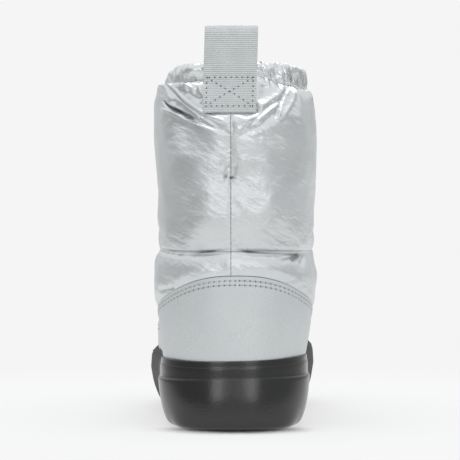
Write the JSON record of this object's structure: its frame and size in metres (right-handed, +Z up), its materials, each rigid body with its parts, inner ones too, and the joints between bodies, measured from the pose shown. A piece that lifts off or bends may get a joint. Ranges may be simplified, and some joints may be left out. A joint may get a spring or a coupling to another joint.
{
  "type": "camp bootie",
  "caption": "Quilted silver pull-on camp bootie with a gathered elastic cuff, webbing pull loop, matte heel counter and black moulded cup sole.",
  "frame": {"origin": "on the floor under the middle of the sole's plan", "axes": "+Y from heel to toe, +X towards the inner side of the foot, +Z up"},
  "size_m": [0.1027, 0.2779, 0.226],
  "materials": {
    "silver_cloth": "metallic coated cloth",
    "cuff_cloth": "gathered metallic coated cloth",
    "grey_synthetic": "matte coated synthetic",
    "black_rubber": "moulded, satin",
    "grey_tape": "ribbed woven tape",
    "grey_felt": "brushed pile"
  },
  "bodies": {
    "root": {"sole": "black_rubber", "insole": "grey_felt", "upper": "silver_cloth", "counter_rand": "grey_synthetic", "cuff": "cuff_cloth", "pull_loop": "grey_tape"}
  },
  "joints": []
}
